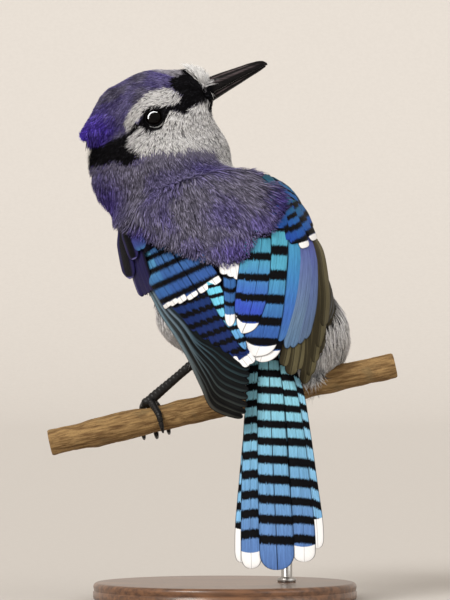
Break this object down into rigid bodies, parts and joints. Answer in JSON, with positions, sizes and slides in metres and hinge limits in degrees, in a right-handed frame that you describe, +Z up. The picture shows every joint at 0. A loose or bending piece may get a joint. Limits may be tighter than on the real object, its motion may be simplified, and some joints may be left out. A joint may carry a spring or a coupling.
{
  "type": "blue jay",
  "caption": "Still, life-size blue jay seen from behind with its head turned, gripping a cut branch over a round display base",
  "frame": {"origin": "centre of the underside of the round base, on the surface it stands on", "axes": "+Z up; +X to the viewer's right, where the bill points; +Y away from the viewer, so the bird's back faces -Y"},
  "size_m": [0.1649, 0.1297, 0.2547],
  "materials": {
    "feather_crown": "matt, finely barbed feathers",
    "feather_crest": "matt, finely barbed feathers",
    "feather_mantle": "matt, loose hair-like feathers",
    "feather_trunk": "soft, downy feathers",
    "feather_wing": "smooth vaned feathers with a low sheen",
    "feather_tail": "smooth vaned feathers with a low sheen",
    "bill_black": "horn, satin",
    "eye_dark": "wet, glossy",
    "leg_black": "scaled skin, satin",
    "branch_wood": "weathered bark and grain, matt",
    "stand_metal": "brushed",
    "stand_wood": "dark stained, satin lacquer"
  },
  "bodies": {
    "root": {"head": "feather_crown", "crest": "feather_crest", "neck": "feather_mantle", "trunk": "feather_trunk", "wing_left": "feather_wing", "wing_right": "feather_wing", "tail": "feather_tail", "bill_upper": "bill_black", "bill_lower": "bill_black", "eye_right": "eye_dark", "eye_left": "eye_dark", "leg_left": "leg_black", "leg_right": "leg_black", "perch": "branch_wood", "stand_rod": "stand_metal", "stand_base": "stand_wood"}
  },
  "joints": []
}
